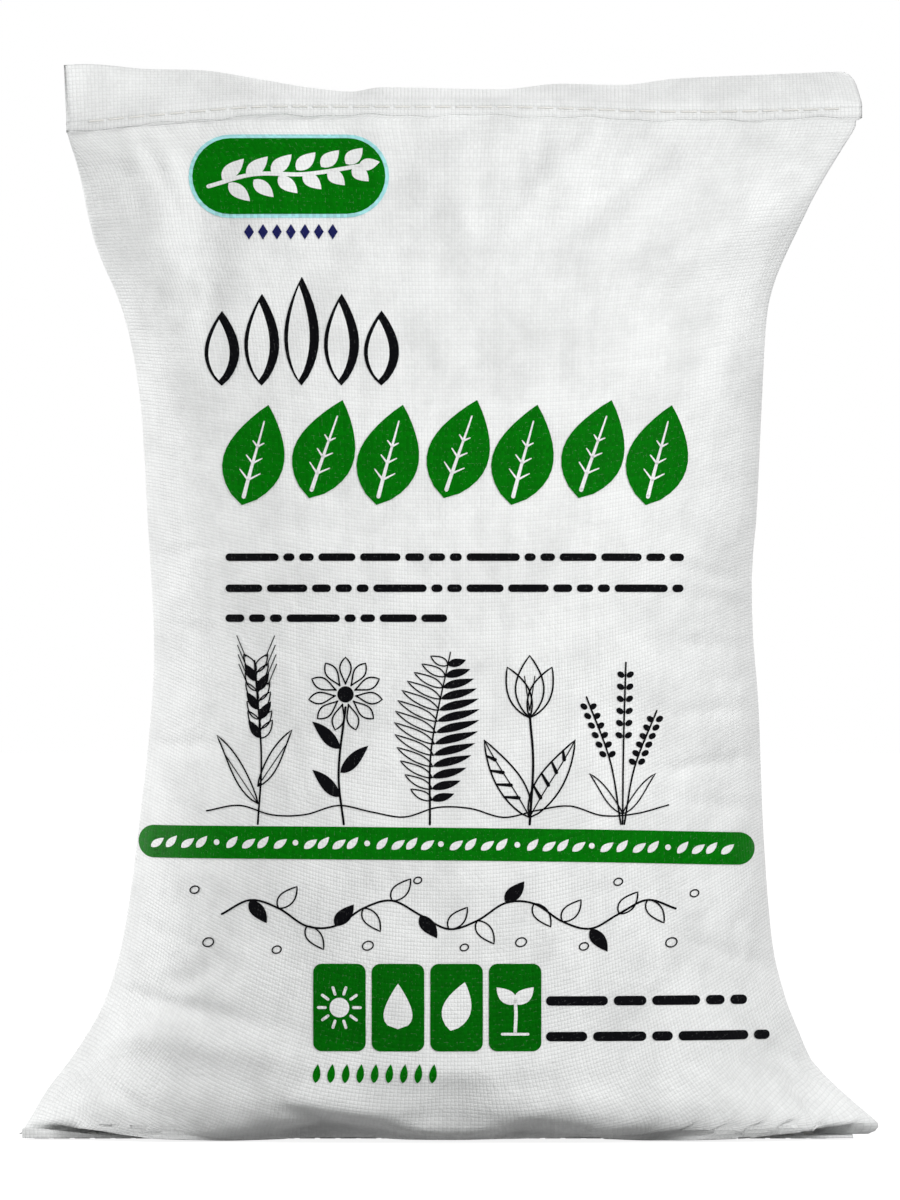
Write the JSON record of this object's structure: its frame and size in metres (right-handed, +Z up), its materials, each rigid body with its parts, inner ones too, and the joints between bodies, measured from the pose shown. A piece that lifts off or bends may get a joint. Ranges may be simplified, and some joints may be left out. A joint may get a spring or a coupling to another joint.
{
  "type": "filled compost sack",
  "caption": "Upright filled sack of white woven plastic cloth, sewn shut at top and bottom, with flared bottom corners and a folded top hem.",
  "frame": {"origin": "on the floor under the middle of the sack", "axes": "+Z up from the sewn bottom end to the top hem, +X to the right of someone who looks at the printed front, +Y towards the plain back"},
  "size_m": [0.508, 0.242, 0.6313],
  "materials": {
    "woven_cloth": "satin woven polypropylene, with green and black print on the front",
    "top_thread": "matt twisted yarn",
    "bottom_thread": "matt twisted yarn"
  },
  "bodies": {
    "root": {"sack": "woven_cloth", "top_seam_thread": "top_thread", "bottom_seam_thread": "bottom_thread"}
  },
  "joints": []
}
